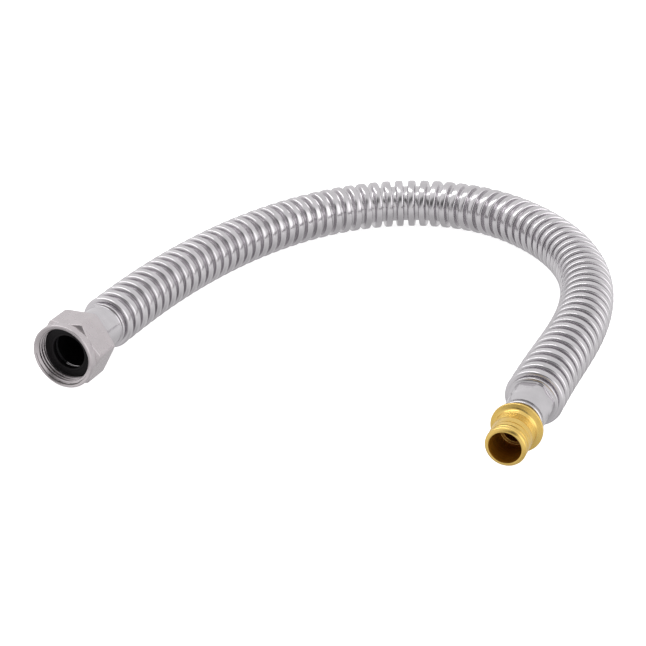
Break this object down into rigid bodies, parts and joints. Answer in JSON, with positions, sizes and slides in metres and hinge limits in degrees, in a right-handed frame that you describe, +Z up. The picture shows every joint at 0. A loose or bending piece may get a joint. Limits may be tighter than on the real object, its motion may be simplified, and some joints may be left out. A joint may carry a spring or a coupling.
{
  "type": "corrugated water connector",
  "caption": "Bent corrugated stainless steel water connector with a hexagonal swivel nut on one end and a barbed brass crimp insert on the other.",
  "frame": {"origin": "on the surface that the connector lies on, under the middle of its bounding box", "axes": "+Z up from that surface; both mouths face -Y, the nut on the -X side with its axis along Y and the insert on the +X side, where the hose turns 2 degrees outwards"},
  "size_m": [0.245, 0.2689, 0.0318],
  "materials": {
    "tube_steel": "bright satin stainless steel",
    "nut_steel": "satin nickel-plated steel",
    "washer_rubber": "black rubber",
    "bush_plastic": "black moulded plastic",
    "insert_brass": "turned bright brass",
    "seal_rubber": "black rubber"
  },
  "bodies": {
    "tube": {"corrugated_tube": "tube_steel", "sealing_washer": "washer_rubber", "pex_insert": "insert_brass", "stem_seal_1": "seal_rubber", "stem_seal_2": "seal_rubber"},
    "bush": {"insulating_bush": "bush_plastic"},
    "nut": {"swivel_nut": "nut_steel"}
  },
  "joints": [
    {"name": "nut_slide", "type": "slide", "parent": "tube", "child": "bush", "axis": [0, 1, 0], "range_m": [0, 0.015]},
    {"name": "nut_swivel", "type": "hinge", "parent": "bush", "child": "nut", "pos_m": [-0.1055, -0.118, 0.0159], "axis": [0, 1, 0], "continuous": true}
  ]
}
